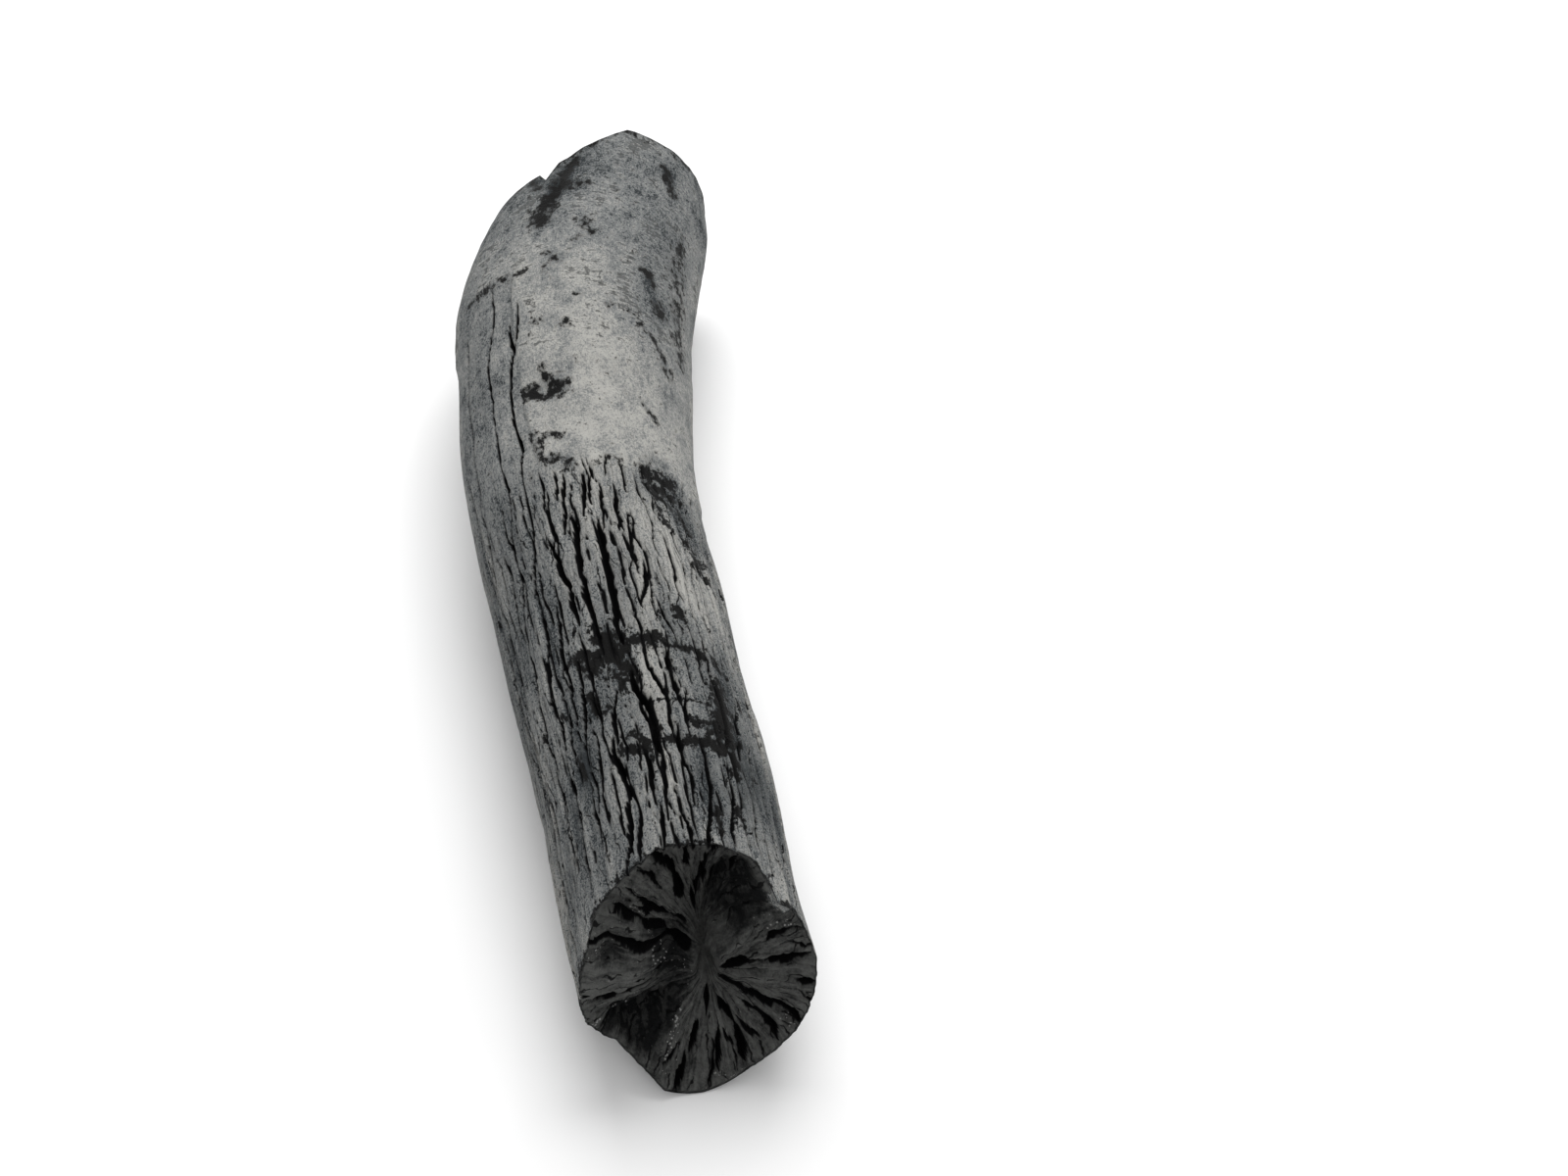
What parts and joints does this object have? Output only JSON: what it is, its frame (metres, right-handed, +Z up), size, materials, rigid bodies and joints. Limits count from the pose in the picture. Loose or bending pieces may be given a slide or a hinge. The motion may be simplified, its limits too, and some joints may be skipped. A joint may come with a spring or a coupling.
{
  "type": "charcoal lump",
  "caption": "Stick of white charcoal, a bowed charred length of branch, cracked along its grain and broken across at both ends; fuel for a grill.",
  "frame": {"origin": "centre of the bounding box, on the surface that it rests on", "axes": "+Y along the branch, away from the broken end that the picture shows; +Z up"},
  "size_m": [0.0739, 0.2358, 0.049],
  "materials": {
    "charcoal": "matt grey ash over black charcoal; bare black in the cracks and on the broken ends"
  },
  "bodies": {
    "root": {"charcoal_lump": "charcoal"}
  },
  "joints": []
}
